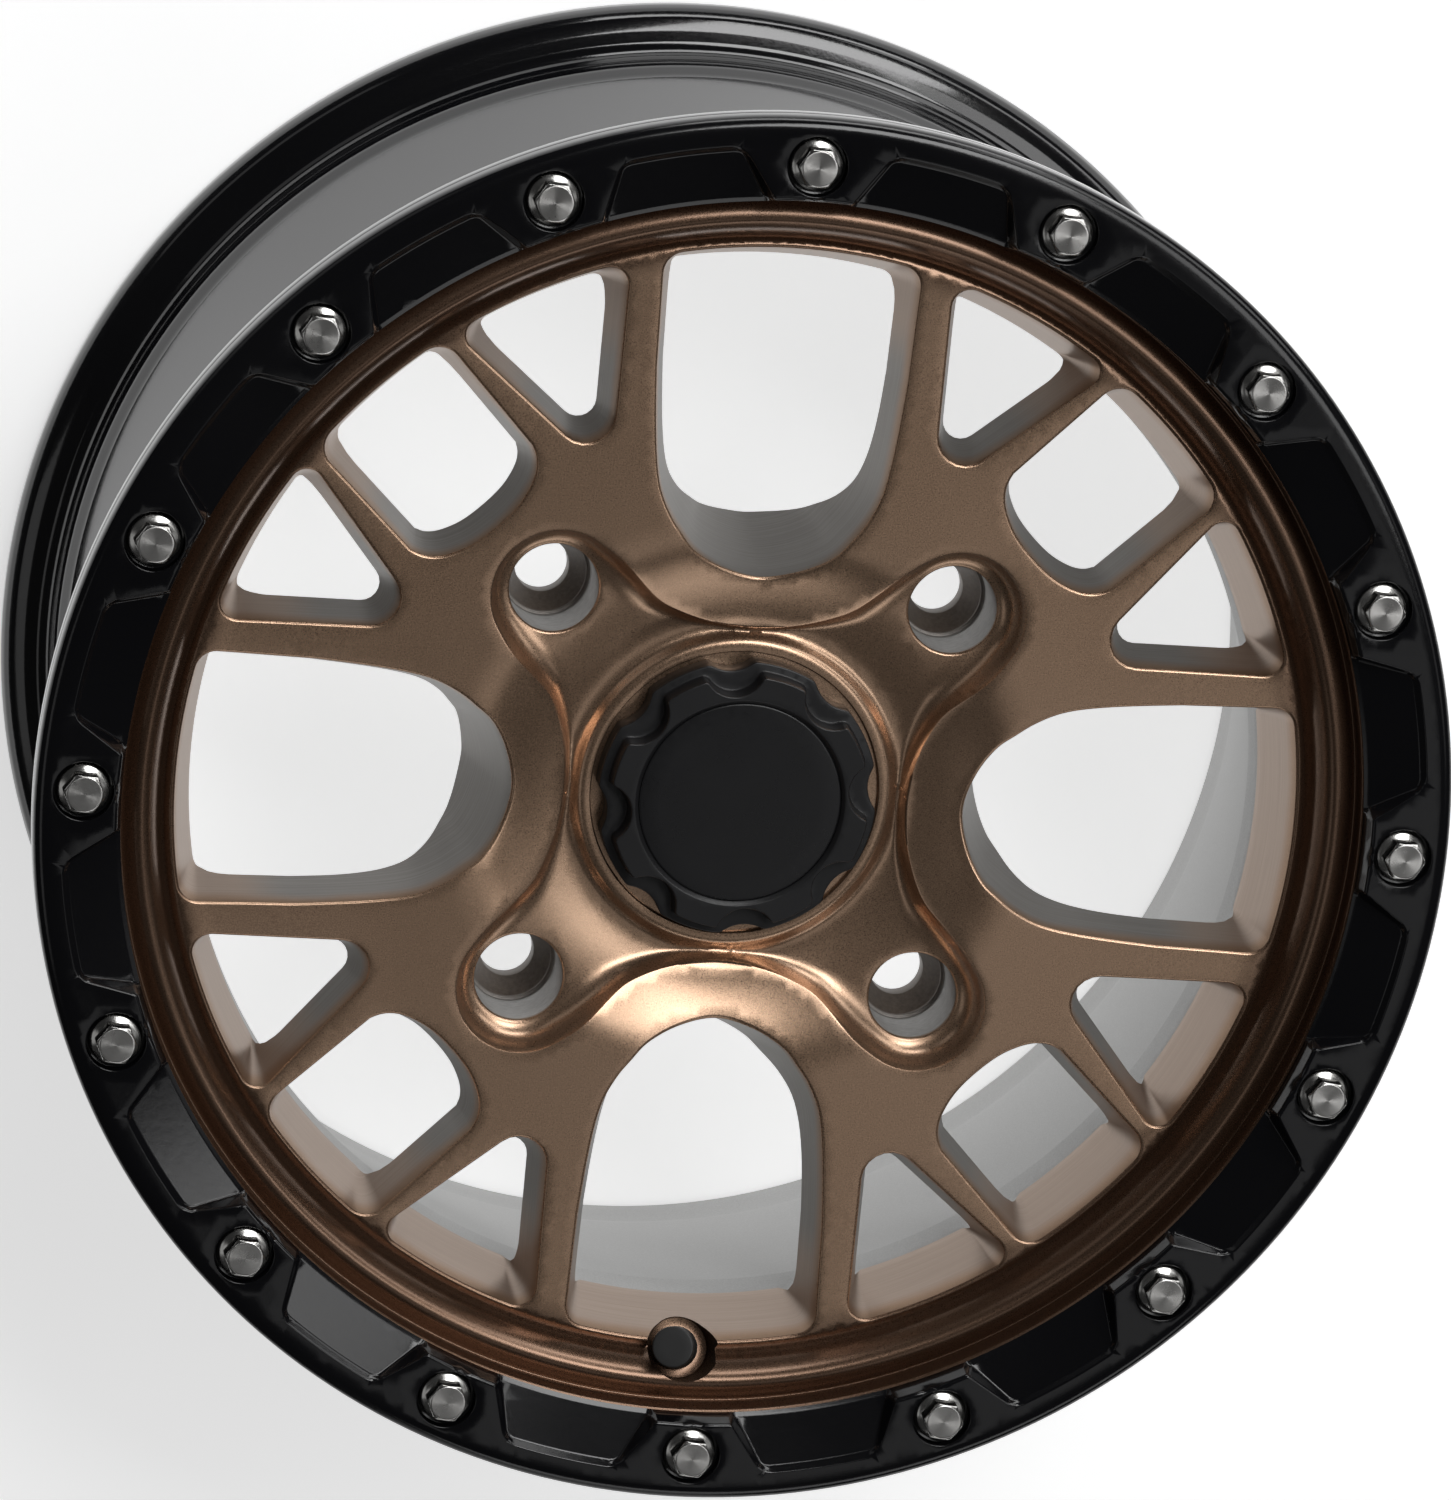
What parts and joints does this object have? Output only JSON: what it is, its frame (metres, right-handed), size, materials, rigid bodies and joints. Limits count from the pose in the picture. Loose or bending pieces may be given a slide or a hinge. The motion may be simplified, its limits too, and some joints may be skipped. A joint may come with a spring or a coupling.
{
  "type": "utility vehicle wheel",
  "caption": "Cast utility vehicle wheel with branching spokes, a bolted outer ring, lug wells, a scalloped centre cap and a rubber valve.",
  "frame": {"origin": "on the wheel axis, at the inboard rim edge that the wheel stands on", "axes": "+Z along the wheel axis towards the outboard face, -Y towards the valve"},
  "size_m": [0.3879, 0.388, 0.2],
  "materials": {
    "wheel_casting": "satin bronze paint on the face and lip, gloss black outside the barrel, light grey inside",
    "ring_black": "satin black",
    "bolt_steel": "turned faces",
    "insert_steel": "plain",
    "cap_plastic": "satin black",
    "disc_plastic": "satin black",
    "spring_steel": "bright wire",
    "valve_rubber": "matt",
    "valve_brass": "turned",
    "seal_rubber": "matt",
    "valve_cap_plastic": "fine matt"
  },
  "bodies": {
    "wheel": {"wheel": "wheel_casting", "outer_ring": "ring_black", "ring_bolts": "bolt_steel", "thread_inserts": "insert_steel", "valve_body": "valve_rubber", "valve_stem": "valve_brass", "core_housing": "valve_brass", "core_seal": "seal_rubber", "core_spring": "spring_steel"},
    "centre_cap": {"cap_body": "cap_plastic", "cap_disc": "disc_plastic", "cap_spring_ring": "spring_steel"},
    "valve_pin": {"core_pin": "valve_brass", "core_cup": "seal_rubber"},
    "valve_cap": {"valve_cap": "valve_cap_plastic", "cap_gasket": "seal_rubber"}
  },
  "joints": [
    {"name": "cap_lift", "type": "slide", "parent": "wheel", "child": "centre_cap", "axis": [0, 0, 1], "range_m": [0, 0.06]},
    {"name": "valve_cap_lift", "type": "slide", "parent": "wheel", "child": "valve_cap", "axis": [-0.214, 0.3289, 0.9198], "range_m": [0, 0.04]},
    {"name": "pin_press", "type": "slide", "parent": "wheel", "child": "valve_pin", "axis": [0.214, -0.3289, -0.9198], "range_m": [0, 0.0015], "stiffness_N_per_m": 400, "springref_m": -0.0015, "deforming": ["core_spring"]}
  ]
}
